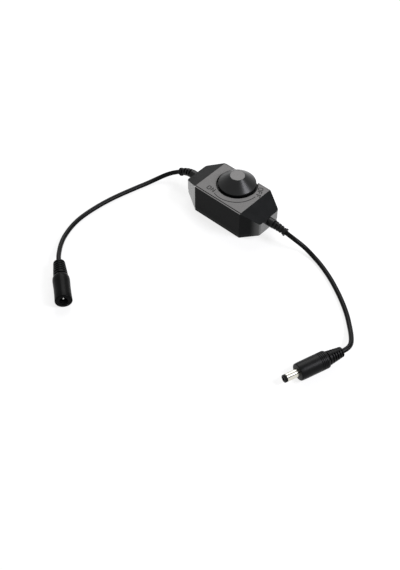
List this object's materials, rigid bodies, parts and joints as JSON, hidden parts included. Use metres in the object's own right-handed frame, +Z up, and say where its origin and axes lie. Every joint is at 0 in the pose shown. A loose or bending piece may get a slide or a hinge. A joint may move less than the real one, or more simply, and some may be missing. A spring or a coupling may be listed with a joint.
{
  "type": "rotary cord dimmer",
  "caption": "In-line rotary dimmer: a black long octagonal housing with a conical knob, a label underneath, and a short cord each way to a barrel jack and a barrel plug.",
  "frame": {"origin": "middle of the housing's flat underside, on the surface it rests on", "axes": "+X along the housing to the output cord, +Y to the long side that the knob overhangs, +Z up through the knob's side"},
  "size_m": [0.2298, 0.1749, 0.034],
  "materials": {
    "housing_abs": "textured black ABS with a finely grained top pad",
    "cover_abs": "satin black ABS",
    "label_vinyl": "satin white vinyl with plain black marks",
    "blackened_steel": "blackened",
    "knob_abs": "glossy black with a matte top",
    "bare_steel": "plated",
    "acetal": "natural",
    "contact_brass": "sprung sheet",
    "zinc": "die cast",
    "phenolic": "paper laminate",
    "carbon_ink": "matte",
    "wire_insulation": "satin",
    "board_laminate": "solder mask",
    "epoxy": "moulded",
    "capacitor_sleeve": "shrunk sleeve",
    "resistor_body": "lacquered",
    "relief_pvc": "satin",
    "cord_pvc": "satin",
    "connector_pvc": "satin",
    "insert_nylon": "moulded",
    "nickel": "plated"
  },
  "bodies": {
    "housing": {"top_housing": "housing_abs", "bottom_cover": "cover_abs", "label": "label_vinyl", "cover_screws": "blackened_steel", "pot_bushing": "zinc", "pot_nut": "zinc", "pot_washer": "bare_steel", "pot_wafer": "phenolic", "pot_track": "carbon_ink", "pot_terminals": "contact_brass", "pot_case": "bare_steel", "pot_leads": "wire_insulation", "circuit_board": "board_laminate", "board_screws": "bare_steel", "power_transistor": "epoxy", "transistor_tab": "zinc", "timer_chip": "epoxy", "smoothing_capacitor": "capacitor_sleeve", "resistors": "resistor_body", "diode": "epoxy", "input_leads": "wire_insulation", "output_leads": "wire_insulation", "input_strain_relief": "relief_pvc", "output_strain_relief": "relief_pvc", "input_cord": "cord_pvc", "output_cord": "cord_pvc", "jack_housing": "connector_pvc", "jack_insert": "insert_nylon", "jack_centre_pin": "nickel", "jack_spring": "contact_brass", "plug_housing": "connector_pvc", "plug_barrel": "nickel", "plug_tip_ring": "insert_nylon", "plug_centre_contact": "contact_brass"},
    "knob": {"knob": "knob_abs", "pot_shaft": "bare_steel", "pot_rotor": "acetal", "pot_wiper": "contact_brass"}
  },
  "joints": [
    {"name": "knob_turn", "type": "hinge", "parent": "housing", "child": "knob", "pos_m": [0, 0.0054, 0.0206], "axis": [0, 0, -1], "range_deg": [0, 300]}
  ]
}
